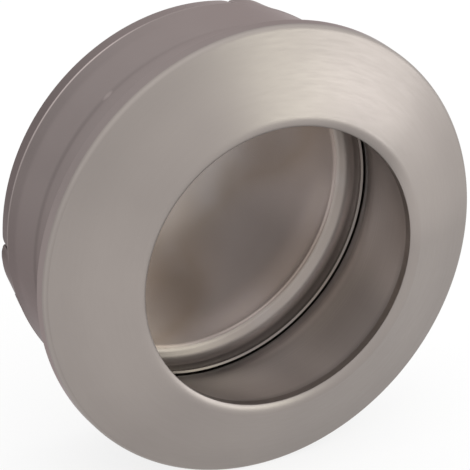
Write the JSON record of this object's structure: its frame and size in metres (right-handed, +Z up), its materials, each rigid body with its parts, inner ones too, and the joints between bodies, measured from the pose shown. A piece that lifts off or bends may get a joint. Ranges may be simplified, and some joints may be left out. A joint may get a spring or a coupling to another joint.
{
  "type": "pocket door pull",
  "caption": "Round recessed pull for a pocket or sliding door: sloping satin-nickel flange with a rolled lip, finger recess that widens behind it, pressed pan at the back.",
  "frame": {"origin": "on the pull's axis in the plane of the door face, behind the flange", "axes": "+Y along the axis into the door, the front faces -Y, +Z up"},
  "size_m": [0.06, 0.025, 0.06],
  "materials": {
    "housing": "satin nickel plate on cast zinc alloy",
    "pan": "satin nickel plate on pressed steel sheet"
  },
  "bodies": {
    "root": {"housing": "housing", "pan": "pan"}
  },
  "joints": []
}
